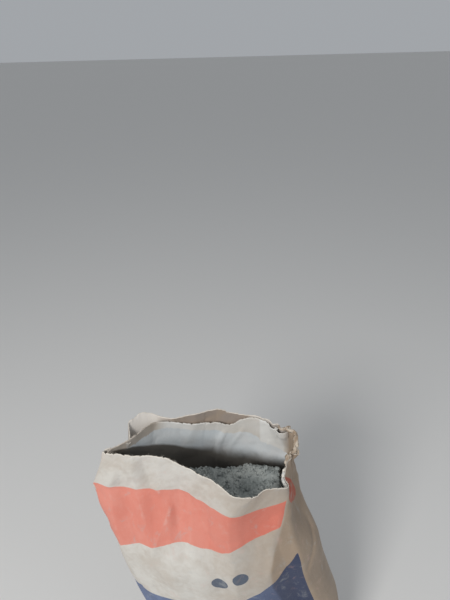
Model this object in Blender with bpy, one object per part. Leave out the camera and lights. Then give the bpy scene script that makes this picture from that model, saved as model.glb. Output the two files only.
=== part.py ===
"""An opened, upright paper cement sack: two paper plies, a pasted bottom patch and the cement inside.

Metres, +Z up. X runs along the sack's width, the printed front faces -Y, and the floor is z = 0.
"""

import bpy
import numpy as np

# Driving sizes
BOTTOM_LENGTH = 0.340        # pasted block bottom, left to right
BOTTOM_WIDTH = 0.118         # pasted block bottom, front to back
BELLY_LENGTH = 0.369         # widest level of the filled body
BELLY_WIDTH = 0.166
SHOULDER_LENGTH = 0.354      # just under the opened top
SHOULDER_WIDTH = 0.150
FRONT_BULGE = 0.011          # the loose paper bulges to the front at the shoulder
MOUTH_LENGTH = 0.311         # torn mouth, from the pinched left tip to the crumpled right ear
MOUTH_FRONT = 0.068          # how far the mouth's front and back lips stand off the middle
MOUTH_BACK = 0.090
BODY_HEIGHT = 0.555          # floor to the line where the top end was folded over
BELLY_HEIGHT = 0.250         # level of the belly
SHOULDER_HEIGHT = 0.440      # where the stiff filled body ends and the loose mouth starts
FLAP_HEIGHT = 0.101          # the unfolded end above the fold line, at its highest
THROAT_RISE = 0.0215         # the loose paper is drawn in to its throat, this far above the fold line
TUBE_GIRTH = 0.870           # the paper once round the sack
FOOT_SHIFT = 0.075           # the soft body leans: its foot stands to the right of its top
TOP_SHIFT = -0.0135
MOUTH_SHIFT = -0.0195
PLY = 0.0009                 # one modelled ply stands for the paper layers pasted together
PLY_CLEARANCE = 0.0003       # between pieces that touch
LIP_CLEARANCE = 0.0008       # the plies part a little at the torn lip
PATCH_PLY = 0.0008           # the sheet pasted over the block bottom
PATCH_MARGIN = 0.005         # bare paper left round that sheet
EDGE_RADIUS = 0.014          # rounding where the walls turn under to the bottom
FILL_HEIGHT = 0.505          # level of the cement where it has slid away from its heap
HEAP_HEIGHT = 0.066          # how far the heap rises above that level
HEAP_LENGTH = 0.130          # its reach to either side of its middle, and to the back
HEAP_WIDTH = 0.078
FILL_SLACK = 0.0015          # the loose top of the cement keeps this far off the paper
HEAP_SIDE = 0.050            # the heap's middle lies this far right of the mouth's middle
HEAP_FRONT = 0.018           # and this far to the front
INNER_LEAN = 0.009           # the inner ply stands this far off the outer one at the back lip
INNER_DIP = 0.010            # and it sags this much further there
FLAP_CURL = 0.024            # the outer ply curls outwards this far at the back left
FLAP_DIP = 0.0024            # and that curl sags by this much
FOLD_DEPTH = 0.006           # the deepest creases in the paper, and how far each reaches to its sides
FOLD_REACH = 0.030

INNER_REACH_SHARE = 0.86     # the inner ply ends this share of the way from the throat to the lip

# Places round the sack, as shares of the way round from the left tip by the front
PARTING_SHARE = 0.72
PARTING_SPREAD_SHARE = 0.14
FLAP_SHARE = 0.895
FLAP_SPREAD_SHARE = 0.075

# How square the body's outline is: 2 is an ellipse, and a large number is a rectangle
BOTTOM_EXPONENT = 6.0
BELLY_EXPONENT = 2.4
SHOULDER_EXPONENT = 1.9

# Between the shoulder and the throat the left end stays wide until late, and the right end is pinched
LEFT_SLACK_POWER = 2.6
RIGHT_PINCH_RATIO = 1.2
SLACK_SPREAD_SHARE = 0.20    # how far round the sack each of those two is felt

POINTS_AROUND = 72           # facets round the sack
BODY_ROWS = 10               # rings from the bottom edge to the shoulder
NECK_ROWS = 6                # rings from the shoulder to the throat
MOUTH_ROWS = 3               # rings from the throat to the lip
EDGE_ROWS = 3                # rings round the bottom edge
HEAP_ROWS = 4                # rings from the shoulder to the edge of the cement's surface
HEAP_RINGS = 6               # rings from that edge to the top of the heap
CURVE_STEPS = 24             # fine steps that a curve is drawn with before it is divided evenly
OUTLINE_STEPS = 240
MITRE_RATIO = 0.6            # a corner that is moved inwards stretches no more than this allows
SHARP_ANGLE = 50.0           # degrees between faces past which an edge is drawn sharp

OUTER_PAPER = (0.62, 0.55, 0.46)
INNER_PAPER = (0.66, 0.61, 0.53)
PATCH_PAPER = (0.60, 0.53, 0.44)
POWDER = (0.20, 0.21, 0.20)
PAPER_ROUGHNESS = 0.85
POWDER_ROUGHNESS = 0.95

# The lip seen from above, from the pinched left tip round by the front: along and across the mouth as
# shares of its length and of its lips' reach, then its height as a share of FLAP_HEIGHT.
LIP_SHARES = (
    (-0.515, 0.00, 0.89),
    (-0.358, -0.20, 0.99),
    (-0.207, -0.33, 1.00),
    (-0.143, -0.40, 0.91),
    (-0.020, -0.60, 0.82),
    (0.066, -0.86, 0.79),
    (0.146, -1.00, 0.66),
    (0.237, -0.86, 0.60),
    (0.288, -0.73, 0.61),
    (0.400, -0.53, 0.45),
    (0.396, -0.13, 0.36),
    (0.432, 0.20, 0.37),
    (0.500, 0.45, 0.40),
    (0.474, 0.60, 0.70),
    (0.421, 0.70, 0.72),
    (0.317, 0.90, 0.78),
    (0.153, 1.00, 0.81),
    (0.068, 1.00, 0.93),
    (-0.036, 0.90, 0.94),
    (-0.201, 0.75, 0.91),
    (-0.307, 0.55, 0.92),
    (-0.394, 0.25, 0.87),
)

# The paper at the throat, from the same tip: along and across the mouth as the same shares
THROAT_SHARES = (
    (-0.592, 0.03),
    (-0.570, -0.06),
    (-0.468, -0.15),
    (-0.291, -0.19),
    (-0.137, -0.31),
    (-0.050, -0.44),
    (0.021, -0.82),
    (0.137, -0.98),
    (0.256, -0.79),
    (0.368, -0.62),
    (0.407, -0.54),
    (0.432, -0.15),
    (0.461, 0.28),
    (0.490, 0.54),
    (0.449, 0.76),
    (0.288, 0.94),
    (0.127, 0.99),
    (-0.066, 0.96),
    (-0.259, 0.76),
    (-0.436, 0.44),
)

# The main creases. Each runs from one place to another, given as a share of the way round the sack
# and a share of BODY_HEIGHT, and its last number is its depth as a share of FOLD_DEPTH. A ridge is
# positive and a valley is negative.
FOLDS = (
    (0.045, 1.05, 0.060, 0.72, 0.6),
    (0.085, 1.04, 0.100, 0.76, -0.6),
    (0.408, 1.02, 0.347, 0.79, 0.8),
    (0.417, 0.93, 0.424, 0.59, 0.8),
    (0.385, 0.86, 0.392, 0.65, -0.6),
    (0.560, 0.86, 0.556, 0.22, 0.75),
    (0.950, 1.01, 0.940, 0.27, 0.65),
    (0.490, 0.90, 0.487, 0.54, -0.7),
    (0.215, 1.13, 0.205, 0.90, 0.6),
    (0.165, 1.01, 0.160, 0.72, 0.5),
    (0.250, 1.01, 0.245, 0.76, -0.6),
    (0.700, 1.01, 0.860, 0.94, 0.5),
)
FOLD_FADE_SHARE = 0.35       # a crease fades out over this share of its length past either end
FOLD_FOOT_SHARE = 0.09       # no crease reaches lower than this share of BODY_HEIGHT


def clear_scene():
    for obj in list(bpy.data.objects):
        bpy.data.objects.remove(obj, do_unlink=True)


def smooth_step(value):
    share = np.clip(value, 0.0, 1.0)
    return share * share * (3.0 - 2.0 * share)


def closed_curve(points, samples):
    """Points evenly spaced along a closed Catmull-Rom curve, starting at the first one."""
    points = np.asarray(points, float)
    before, after = np.roll(points, 1, axis=0), np.roll(points, -1, axis=0)
    beyond = np.roll(points, -2, axis=0)
    share = np.linspace(0.0, 1.0, CURVE_STEPS, endpoint=False)[:, None, None]
    dense = 0.5 * (
        2.0 * points
        + (after - before) * share
        + (2.0 * before - 5.0 * points + 4.0 * after - beyond) * share ** 2
        + (3.0 * points - before - 3.0 * after + beyond) * share ** 3
    )
    dense = dense.transpose(1, 0, 2).reshape(-1, points.shape[1])
    return evenly(dense, samples)


def evenly(loop, samples):
    """The closed polyline resampled at even steps of its length seen from above."""
    ring = np.vstack([loop, loop[:1]])
    steps = np.linalg.norm(np.diff(ring[:, :2], axis=0), axis=1)
    run = np.concatenate([[0.0], np.cumsum(steps)])
    places = np.linspace(0.0, run[-1], samples, endpoint=False)
    return np.stack([np.interp(places, run, ring[:, axis]) for axis in range(ring.shape[1])], axis=1)


def body_ring(height):
    """The filled body's outline at this height, as x, y points from its left end round by the front."""
    levels = (0.0, BELLY_HEIGHT, SHOULDER_HEIGHT, BODY_HEIGHT)
    to_belly = smooth_step(height / BELLY_HEIGHT)
    half_length = 0.5 * np.interp(
        height, levels, (BOTTOM_LENGTH, BELLY_LENGTH, SHOULDER_LENGTH, SHOULDER_LENGTH)
    )
    half_width = 0.5 * (BOTTOM_WIDTH + (BELLY_WIDTH - BOTTOM_WIDTH) * to_belly)
    to_shoulder = smooth_step((height - BELLY_HEIGHT) / (SHOULDER_HEIGHT - BELLY_HEIGHT))
    half_width += 0.5 * (SHOULDER_WIDTH - BELLY_WIDTH) * to_shoulder
    squareness = BOTTOM_EXPONENT + (BELLY_EXPONENT - BOTTOM_EXPONENT) * to_belly
    squareness += (SHOULDER_EXPONENT - BELLY_EXPONENT) * to_shoulder
    middle = FOOT_SHIFT + (TOP_SHIFT - FOOT_SHIFT) * smooth_step(height / BODY_HEIGHT)
    angle = np.linspace(np.pi, 3.0 * np.pi, OUTLINE_STEPS, endpoint=False)
    along = np.sign(np.cos(angle)) * np.abs(np.cos(angle)) ** (2.0 / squareness)
    across = np.sign(np.sin(angle)) * np.abs(np.sin(angle)) ** (2.0 / squareness)
    loop = np.stack([middle + half_length * along, half_width * across - FRONT_BULGE * to_shoulder], axis=1)
    return evenly(loop, POINTS_AROUND)


def mouth_plan(along, across):
    """A place in the mouth, seen from above, from its shares."""
    reach = MOUTH_FRONT if across < 0.0 else MOUTH_BACK
    return MOUTH_SHIFT + MOUTH_LENGTH * along, reach * across


def lip_ring():
    """The torn lip, as x, y, z points from its left tip round by the front."""
    rows = [(*mouth_plan(along, across), BODY_HEIGHT + FLAP_HEIGHT * up) for along, across, up in LIP_SHARES]
    return closed_curve(rows, POINTS_AROUND)


def throat_ring():
    """The outline at the throat, as x, y points from its left tip round by the front."""
    rows = [mouth_plan(along, across) for along, across in THROAT_SHARES]
    return closed_curve(rows, POINTS_AROUND)


def relief(height):
    """How far the creases stand off the smooth wall, for each ring point at its height."""
    lift = np.zeros(POINTS_AROUND)
    for start, start_level, end, end_level, depth in FOLDS:
        turn = (end - start) * TUBE_GIRTH
        rise = (end_level - start_level) * BODY_HEIGHT
        length = np.hypot(turn, rise)
        beside = ((around() - start + 0.5) % 1.0 - 0.5) * TUBE_GIRTH
        above = height - start_level * BODY_HEIGHT
        along = (beside * turn + above * rise) / length ** 2
        across = np.abs(beside * rise - above * turn) / length
        ends = smooth_step((along + FOLD_FADE_SHARE) / FOLD_FADE_SHARE)
        ends *= smooth_step((1.0 + FOLD_FADE_SHARE - along) / FOLD_FADE_SHARE)
        lift += FOLD_DEPTH * depth * smooth_step(1.0 - across / FOLD_REACH) * ends
    return lift * smooth_step(height / (FOLD_FOOT_SHARE * BODY_HEIGHT))


def inset(ring, depth):
    """The ring moved inwards by depth, seen from above, with its corners kept sharp."""
    ahead = np.roll(ring, -1, axis=0)[:, :2] - ring[:, :2]
    ahead /= np.linalg.norm(ahead, axis=1)[:, None]
    behind = np.roll(ahead, 1, axis=0)
    inward_ahead = np.stack([-ahead[:, 1], ahead[:, 0]], axis=1)
    inward_behind = np.stack([-behind[:, 1], behind[:, 0]], axis=1)
    inward = inward_ahead + inward_behind
    inward /= np.linalg.norm(inward, axis=1)[:, None]
    stretch = 1.0 / np.maximum((inward * inward_ahead).sum(axis=1), MITRE_RATIO)
    moved = ring.copy()
    moved[:, :2] += inward * (depth * stretch)[:, None]
    return moved


def wall_rings(depth):
    """Rings of the sack's wall, bottom to lip, this far inside its outer surface."""
    rings = []
    for row in range(EDGE_ROWS):
        turn = 0.5 * np.pi * row / EDGE_ROWS
        pull = EDGE_RADIUS * (1.0 - np.sin(turn))
        height = EDGE_RADIUS * (1.0 - np.cos(turn))
        rings.append(inset(with_height(body_ring(height), height), pull + depth))
    for row in range(BODY_ROWS):
        height = EDGE_RADIUS + (SHOULDER_HEIGHT - EDGE_RADIUS) * row / BODY_ROWS
        rings.append(inset(with_height(body_ring(height), height), depth - relief(height)))
    throat, lip = throat_ring(), lip_ring()
    throat_height = BODY_HEIGHT + THROAT_RISE
    left, right = bump_at(0.0, SLACK_SPREAD_SHARE), bump_at(0.5, SLACK_SPREAD_SHARE)
    for row in range(NECK_ROWS):
        share = row / NECK_ROWS
        height = SHOULDER_HEIGHT + (throat_height - SHOULDER_HEIGHT) * share
        body = body_ring(SHOULDER_HEIGHT + (BODY_HEIGHT - SHOULDER_HEIGHT) * share)
        follow = smooth_step(share * (1.0 + (RIGHT_PINCH_RATIO - 1.0) * right))
        follow += (share ** LEFT_SLACK_POWER - follow) * left
        plan = body + (throat - body) * follow[:, None]
        rings.append(inset(with_height(plan, height), depth - relief(height)))
    for row in range(MOUTH_ROWS + 1):
        share = row / MOUTH_ROWS
        plan = throat + (lip[:, :2] - throat) * share
        height = throat_height + (lip[:, 2] - throat_height) * share
        rings.append(inset(np.column_stack([plan, height]), depth - relief(height)))
    for ring in rings:
        ring[:, 2] += depth * (1.0 - np.clip(ring[:, 2] / SHOULDER_HEIGHT, 0.0, 1.0))
    return rings


def with_height(plan, height):
    return np.column_stack([plan, np.full(len(plan), height)])


def skin_faces(first, second, count):
    """Triangles between two rings, numbered from first and second, facing out when second is above."""
    faces = []
    for index in range(count):
        after = (index + 1) % count
        faces.append((first + index, first + after, second + after))
        faces.append((first + index, second + after, second + index))
    return faces


def add_piece(name, points, faces, colour, roughness):
    mesh = bpy.data.meshes.new(name)
    mesh.from_pydata([tuple(point) for point in points], [], faces)
    mesh.shade_smooth()
    mesh.set_sharp_from_angle(angle=np.radians(SHARP_ANGLE))
    mesh.update()
    obj = bpy.data.objects.new(name, mesh)
    bpy.context.scene.collection.objects.link(obj)
    material = bpy.data.materials.new(name)
    material.use_nodes = True
    shader = material.node_tree.nodes["Principled BSDF"]
    shader.inputs["Base Color"].default_value = (*colour, 1.0)
    shader.inputs["Roughness"].default_value = roughness
    shader.inputs["Metallic"].default_value = 0.0
    mesh.materials.append(material)
    return obj


def open_shell(name, outer, inner, colour, roughness):
    """A closed thin wall between two stacks of rings, open at the lip and closed at the bottom."""
    count = POINTS_AROUND
    rows = len(outer)
    points = [point for ring in outer for point in ring] + [point for ring in inner for point in ring]
    start = rows * count
    faces = []
    for row in range(rows - 1):
        faces += skin_faces(row * count, (row + 1) * count, count)
        faces += [face[::-1] for face in skin_faces(start + row * count, start + (row + 1) * count, count)]
    faces += skin_faces((rows - 1) * count, start + (rows - 1) * count, count)
    for base, ring, flip in ((0, outer[0], False), (start, inner[0], True)):
        centre = len(points)
        points.append(ring.mean(axis=0))
        for index in range(count):
            face = (base + (index + 1) % count, base + index, centre)
            faces.append(face[::-1] if flip else face)
    return add_piece(name, points, faces, colour, roughness)


def around():
    """Each ring point's share of the way round, from the left tip by the front."""
    return np.arange(POINTS_AROUND) / POINTS_AROUND


def bump_at(middle, spread):
    away = np.abs((around() - middle + 0.5) % 1.0 - 0.5)
    return smooth_step(1.0 - away / spread)


def loosen(rings, middle, spread, shift, drop):
    """Moves the top rings: outwards by shift and down by drop, near one place of the lip."""
    near = bump_at(middle, spread)
    for row in range(1, MOUTH_ROWS + 1):
        share = (row / MOUTH_ROWS) ** 2
        ring = rings[-MOUTH_ROWS - 1 + row]
        moved = inset(ring, 1.0)
        outward = ring[:, :2] - moved[:, :2]
        outward /= np.linalg.norm(outward, axis=1)[:, None]
        ring[:, :2] += outward * (near * share * shift)[:, None]
        ring[:, 2] -= near * share * drop


def outer_ply():
    outer = wall_rings(0.0)
    inner = wall_rings(PLY)
    for rings in (outer, inner):
        loosen(rings, FLAP_SHARE, FLAP_SPREAD_SHARE, FLAP_CURL, FLAP_DIP)
    return open_shell("outer_ply", outer, inner, OUTER_PAPER, PAPER_ROUGHNESS)


def inner_rings(depth):
    """The inner ply's rings: they leave the outer ply at the back lip and end a little lower."""
    rings = wall_rings(depth)
    loosen(rings, PARTING_SHARE, PARTING_SPREAD_SHARE, -INNER_LEAN, INNER_DIP)
    last_step = 1.0 - (1.0 - INNER_REACH_SHARE) * MOUTH_ROWS
    rings[-1] = inset(rings[-2] + (rings[-1] - rings[-2]) * last_step, LIP_CLEARANCE)
    return rings


def inner_ply():
    first = PLY + PLY_CLEARANCE
    rings, backs = inner_rings(first), inner_rings(first + PLY)
    return open_shell("inner_ply", rings, backs, INNER_PAPER, PAPER_ROUGHNESS)


def heap(x, y):
    """Height of the cement's surface at x, y."""
    along = (x - MOUTH_SHIFT - HEAP_SIDE) / HEAP_LENGTH
    across = (y + HEAP_FRONT) / HEAP_WIDTH
    return FILL_HEIGHT + HEAP_HEIGHT * np.exp(-(along ** 4) - across ** 4)


def cement():
    depth = 2.0 * PLY + 2.0 * PLY_CLEARANCE
    rings = inner_rings(depth)
    kept = rings[: EDGE_ROWS + BODY_ROWS + 1]
    low = kept[-1]
    rise = heap(low[:, 0], low[:, 1]) - SHOULDER_HEIGHT
    for row in range(1, HEAP_ROWS + 1):
        heights = SHOULDER_HEIGHT + rise * row / HEAP_ROWS
        kept.append(inset(ring_at_height(rings, heights), FILL_SLACK))
    count = POINTS_AROUND
    points = [point for ring in kept for point in ring]
    faces = []
    for row in range(len(kept) - 1):
        faces += skin_faces(row * count, (row + 1) * count, count)
    top = kept[-1]
    middle = np.array([top[:, 0].mean(), top[:, 1].mean()])
    previous = (len(kept) - 1) * count
    for step in range(1, HEAP_RINGS):
        share = 1.0 - step / HEAP_RINGS
        plan = middle + (top[:, :2] - middle) * share
        start = len(points)
        points += [np.array([x, y, heap(x, y)]) for x, y in plan]
        faces += skin_faces(previous, start, count)
        previous = start
    centre = len(points)
    points.append(np.array([*middle, heap(*middle)]))
    faces += [(previous + index, previous + (index + 1) % count, centre) for index in range(count)]
    under = len(points)
    points.append(kept[0].mean(axis=0))
    faces += [((index + 1) % count, index, under) for index in range(count)]
    return add_piece("cement", points, faces, POWDER, POWDER_ROUGHNESS)


def ring_at_height(rings, heights):
    """The ring on the wall at these heights, one for each point round the sack."""
    stack = np.array(rings)
    found = np.empty_like(rings[0])
    for index in range(POINTS_AROUND):
        column = stack[:, index, :]
        for axis in (0, 1):
            found[index, axis] = np.interp(heights[index], column[:, 2], column[:, axis])
        found[index, 2] = heights[index]
    return found


def bottom_patch():
    """The sheet pasted over the block bottom: what the sack stands on."""
    ring = wall_rings(0.0)[0]
    low = inset(ring, PATCH_MARGIN)
    low[:, 2] = -PLY_CLEARANCE - PATCH_PLY
    high = low.copy()
    high[:, 2] = -PLY_CLEARANCE
    count = POINTS_AROUND
    points = [*low, *high, low.mean(axis=0), high.mean(axis=0)]
    faces = skin_faces(0, count, count)
    for index in range(count):
        after = (index + 1) % count
        faces.append((after, index, 2 * count))
        faces.append((count + index, count + after, 2 * count + 1))
    return add_piece("bottom_patch", points, faces, PATCH_PAPER, PAPER_ROUGHNESS)


def stand_on_origin(pieces):
    """Parents the pieces to an empty whose place puts the sack's foot on z = 0, over the origin."""
    points = np.array([point.co for piece in pieces for point in piece.data.vertices])
    low, high = points.min(axis=0), points.max(axis=0)
    stand = bpy.data.objects.new("stand", None)
    bpy.context.scene.collection.objects.link(stand)
    stand.location = (-0.5 * (low[0] + high[0]), -0.5 * (low[1] + high[1]), -low[2])
    for piece in pieces:
        piece.parent = stand


clear_scene()
stand_on_origin([outer_ply(), inner_ply(), cement(), bottom_patch()])
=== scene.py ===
import math
import bmesh
import bpy
import numpy as np
from mathutils import Matrix, Vector


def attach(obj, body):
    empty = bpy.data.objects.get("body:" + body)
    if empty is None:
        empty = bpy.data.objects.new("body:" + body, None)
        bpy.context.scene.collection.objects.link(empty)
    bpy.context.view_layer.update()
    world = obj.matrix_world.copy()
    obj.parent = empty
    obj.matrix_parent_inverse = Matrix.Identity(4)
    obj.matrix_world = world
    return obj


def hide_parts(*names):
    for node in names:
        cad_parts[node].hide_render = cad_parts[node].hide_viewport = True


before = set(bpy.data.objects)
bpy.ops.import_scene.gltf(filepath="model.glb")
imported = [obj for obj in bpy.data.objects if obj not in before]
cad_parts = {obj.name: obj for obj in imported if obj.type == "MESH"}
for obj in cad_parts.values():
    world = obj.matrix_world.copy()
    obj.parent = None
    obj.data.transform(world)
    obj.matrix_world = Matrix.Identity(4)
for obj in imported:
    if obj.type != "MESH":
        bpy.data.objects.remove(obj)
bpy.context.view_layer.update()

# The sack's own measures, in metres. They are the same ones that the solids were drawn from.
sack = {
    "stand": (-0.02107, -0.00299, 0.0011),      # where the sack's own origin stands
    # the filled body at its bottom, belly and shoulder: height, length, width and how square it is
    "body": ((0.0, 0.340, 0.118, 6.0), (0.250, 0.369, 0.166, 2.4), (0.440, 0.354, 0.150, 1.9)),
    "foldHeight": 0.555, "flapHeight": 0.101, "frontBulge": 0.011, "edgeRadius": 0.014,
    "throatHeight": 0.5765,                     # where the loose paper is drawn in
    "footShift": 0.075, "topShift": -0.0135, "mouthShift": -0.0195,
    "mouthLength": 0.311, "mouthFront": 0.068, "mouthBack": 0.090,
    "leftSlack": 2.6, "rightPinch": 1.2, "slackSpread": 0.20,
    "girth": 0.87,                              # length of paper once round
    "columns": 320, "edgeRows": 5, "bodyRows": 96, "neckRows": 42, "mouthRows": 26, "curveSteps": 24,
}
columns, girth = sack["columns"], sack["girth"]
columnShare = np.arange(columns) / columns      # each column's place once round, from the left tip by the front

# The torn lip from the pinched left tip round by the front: along, across and up, as shares
lipShares = (
    (-0.515, 0.00, 0.89), (-0.358, -0.20, 0.99), (-0.207, -0.33, 1.00), (-0.143, -0.40, 0.91),
    (-0.020, -0.60, 0.82), (0.066, -0.86, 0.79), (0.146, -1.00, 0.66), (0.237, -0.86, 0.60),
    (0.288, -0.73, 0.61), (0.400, -0.53, 0.45), (0.396, -0.13, 0.36), (0.432, 0.20, 0.37),
    (0.500, 0.45, 0.40), (0.474, 0.60, 0.70), (0.421, 0.70, 0.72), (0.317, 0.90, 0.78),
    (0.153, 1.00, 0.81), (0.068, 1.00, 0.93), (-0.036, 0.90, 0.94), (-0.201, 0.75, 0.91),
    (-0.307, 0.55, 0.92), (-0.394, 0.25, 0.87),
)

# The paper at the throat, from the same tip: along and across, as shares
throatShares = (
    (-0.592, 0.03), (-0.570, -0.06), (-0.468, -0.15), (-0.291, -0.19), (-0.137, -0.31), (-0.050, -0.44),
    (0.021, -0.82), (0.137, -0.98), (0.256, -0.79), (0.368, -0.62), (0.407, -0.54), (0.432, -0.15),
    (0.461, 0.28), (0.490, 0.54), (0.449, 0.76), (0.288, 0.94), (0.127, 0.99), (-0.066, 0.96),
    (-0.259, 0.76), (-0.436, 0.44),
)


def smoothStep(value):
    share = np.clip(value, 0.0, 1.0)
    return share * share * (3.0 - 2.0 * share)


def window(along, fade):
    # 1 from end to end, softly down to 0 at both
    return smoothStep(along / fade) * smoothStep((1.0 - along) / fade)


def curveAt(places, rows):
    # a table of places and values, read at these places
    rows = np.asarray(rows, float)
    return np.interp(places, rows[:, 0], rows[:, 1])


def evenly(loop, samples):
    # a closed line divided into even steps of its length seen from above
    ring = np.vstack([loop, loop[:1]])
    run = np.concatenate([[0.0], np.cumsum(np.linalg.norm(np.diff(ring[:, :2], axis=0), axis=1))])
    places = np.linspace(0.0, run[-1], samples, endpoint=False)
    return np.stack([np.interp(places, run, ring[:, axis]) for axis in range(ring.shape[1])], axis=1)


def closedCurve(points, samples):
    # a smooth closed line through the points
    points = np.asarray(points, float)
    before, after, beyond = [np.roll(points, turn, axis=0) for turn in (1, -1, -2)]
    share = np.linspace(0.0, 1.0, sack["curveSteps"], endpoint=False)[:, None, None]
    dense = 0.5 * (2.0 * points + (after - before) * share
                   + (2.0 * before - 5.0 * points + 4.0 * after - beyond) * share ** 2
                   + (3.0 * points - before - 3.0 * after + beyond) * share ** 3)
    return evenly(dense.transpose(1, 0, 2).reshape(-1, points.shape[1]), samples)


def bodyRing(height):
    # the filled body's outline at one height, seen from above
    heights, lengths, widths, squares = np.array(sack["body"]).T
    toBelly, toShoulder = [smoothStep((height - low) / (high - low)) for low, high in zip(heights, heights[1:])]
    halfLength = 0.5 * np.interp(height, heights, lengths)
    halfWidth = 0.5 * (widths[0] + (widths[1] - widths[0]) * toBelly + (widths[2] - widths[1]) * toShoulder)
    square = squares[0] + (squares[1] - squares[0]) * toBelly + (squares[2] - squares[1]) * toShoulder
    middle = sack["footShift"] + (sack["topShift"] - sack["footShift"]) * smoothStep(height / sack["foldHeight"])
    angle = np.linspace(math.pi, 3.0 * math.pi, 4 * columns, endpoint=False)
    along, across = [np.sign(part) * np.abs(part) ** (2.0 / square) for part in (np.cos(angle), np.sin(angle))]
    loop = np.stack([middle + halfLength * along, halfWidth * across - sack["frontBulge"] * toShoulder], axis=1)
    return evenly(loop, columns)


def mouthPlan(along, across):
    reach = sack["mouthFront"] if across < 0.0 else sack["mouthBack"]
    return sack["mouthShift"] + sack["mouthLength"] * along, reach * across


def lipRing():
    rows = [(*mouthPlan(along, across), sack["foldHeight"] + sack["flapHeight"] * up)
            for along, across, up in lipShares]
    return closedCurve(rows, columns)


def throatRing():
    return closedCurve([mouthPlan(along, across) for along, across in throatShares], columns)


def outwards(ring):
    # level outward directions of a ring that runs from the left end by the front
    ahead = np.roll(ring, -1, axis=0)[:, :2] - np.roll(ring, 1, axis=0)[:, :2]
    ahead /= np.linalg.norm(ahead, axis=1)[:, None] + 1e-12
    return np.stack([ahead[:, 1], -ahead[:, 0]], axis=1)


def nearShare(middle, spread):
    # 1 at one place round the sack, 0 beyond its spread
    away = np.abs((columnShare - middle + 0.5) % 1.0 - 0.5)
    return smoothStep(1.0 - away / spread)


def ringAt(plan, height):
    return np.column_stack([plan, np.broadcast_to(height, len(plan))])


def wallGrid():
    # the smooth wall without its creases: rows from the bottom edge to the lip
    rows, edge = [], sack["edgeRadius"]
    shoulder, fold, drawnIn = sack["body"][-1][0], sack["foldHeight"], sack["throatHeight"]
    for row in range(sack["edgeRows"]):
        turn = 0.5 * math.pi * row / sack["edgeRows"]
        height = edge * (1.0 - math.cos(turn))
        ring = bodyRing(height)
        rows.append(ringAt(ring - outwards(ring) * edge * (1.0 - math.sin(turn)), height))
    for height in np.linspace(edge, shoulder, sack["bodyRows"], endpoint=False):
        rows.append(ringAt(bodyRing(height), height))
    throat, lip = throatRing(), lipRing()
    left, right = nearShare(0.0, sack["slackSpread"]), nearShare(0.5, sack["slackSpread"])
    for share in np.linspace(0.0, 1.0, sack["neckRows"], endpoint=False):
        plan = bodyRing(shoulder + (fold - shoulder) * share)
        follow = smoothStep(share * (1.0 + (sack["rightPinch"] - 1.0) * right))
        follow = follow + (share ** sack["leftSlack"] - follow) * left
        rows.append(ringAt(plan + (throat - plan) * follow[:, None], shoulder + (drawnIn - shoulder) * share))
    for share in np.linspace(0.0, 1.0, sack["mouthRows"] + 1):
        rows.append(ringAt(throat + (lip[:, :2] - throat) * share, drawnIn + (lip[:, 2] - drawnIn) * share))
    return np.array(rows)


def blended(table, u, v):
    # smooth steps between the numbers of a table that closes on itself
    wide, high = table.shape
    u0, v0 = np.floor(u).astype(int), np.floor(v).astype(int)
    fu, fv = smoothStep(u - u0), smoothStep(v - v0)
    a, b = table[u0 % wide, v0 % high], table[(u0 + 1) % wide, v0 % high]
    c, d = table[u0 % wide, (v0 + 1) % high], table[(u0 + 1) % wide, (v0 + 1) % high]
    return (a + (b - a) * fu) * (1.0 - fv) + (c + (d - c) * fu) * fv


def paperNoise(share, height, cell, stretch, seed):
    # smooth noise from -1 to 1 on the sheet, that closes on itself once round the sack
    across = max(3, int(round(girth / cell)))
    table = np.random.default_rng(seed).uniform(-1.0, 1.0, (across, 97))
    return blended(table, (share % 1.0) * across, height / (cell * stretch) + 11.0)


def groundNoise(x, y, cell, seed):
    # smooth noise from -1 to 1 on a level plane
    table = np.random.default_rng(seed).uniform(-1.0, 1.0, (64, 64))
    return blended(table, x / cell + 32.0, y / cell + 32.0)


# The main folds: from one place to another on the sheet (share round, height), lift and reach.
# A lift less than 0 makes a valley.
mainFolds = (
    ((0.045, 0.585), (0.060, 0.400), 0.0040, 0.024),      # left end, front side
    ((0.085, 0.577), (0.100, 0.420), -0.0036, 0.030),
    ((0.408, 0.566), (0.347, 0.438), 0.0052, 0.030),      # front crease
    ((0.417, 0.516), (0.424, 0.327), 0.0052, 0.028),      # front and side corner
    ((0.385, 0.477), (0.392, 0.361), -0.0036, 0.030),
    ((0.560, 0.477), (0.556, 0.122), 0.0045, 0.030),      # back right corner
    ((0.950, 0.560), (0.940, 0.150), 0.0040, 0.030),      # back left corner
    ((0.490, 0.500), (0.487, 0.300), -0.0042, 0.034),     # gusset's middle line
    ((0.215, 0.627), (0.205, 0.500), 0.0036, 0.026),
    ((0.165, 0.560), (0.160, 0.400), 0.0030, 0.028),
    ((0.130, 0.640), (0.150, 0.560), 0.0020, 0.018),
    ((0.250, 0.560), (0.245, 0.420), -0.0036, 0.028),
    ((0.640, 0.640), (0.640, 0.500), 0.0012, 0.022),
    ((0.700, 0.560), (0.860, 0.522), 0.0030, 0.026),
    ((0.690, 0.630), (0.655, 0.560), 0.0012, 0.024),      # across the back wall, inside
    ((0.780, 0.630), (0.795, 0.560), -0.0022, 0.022),
    ((0.075, 0.640), (0.125, 0.500), 0.0056, 0.026),      # soft folds across the front
    ((0.300, 0.560), (0.275, 0.400), 0.0046, 0.028),
    ((0.020, 0.500), (0.055, 0.360), -0.0044, 0.028),
    ((0.180, 0.600), (0.190, 0.530), -0.0026, 0.022),
    ((0.172, 0.552), (0.128, 0.488), 0.0036, 0.018),      # the wedge low on the band
    ((0.174, 0.552), (0.190, 0.492), -0.0032, 0.018),
    ((0.068, 0.628), (0.135, 0.580), 0.0030, 0.012),      # short wrinkles under the lip
    ((0.095, 0.640), (0.120, 0.592), -0.0026, 0.012),
)

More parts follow.
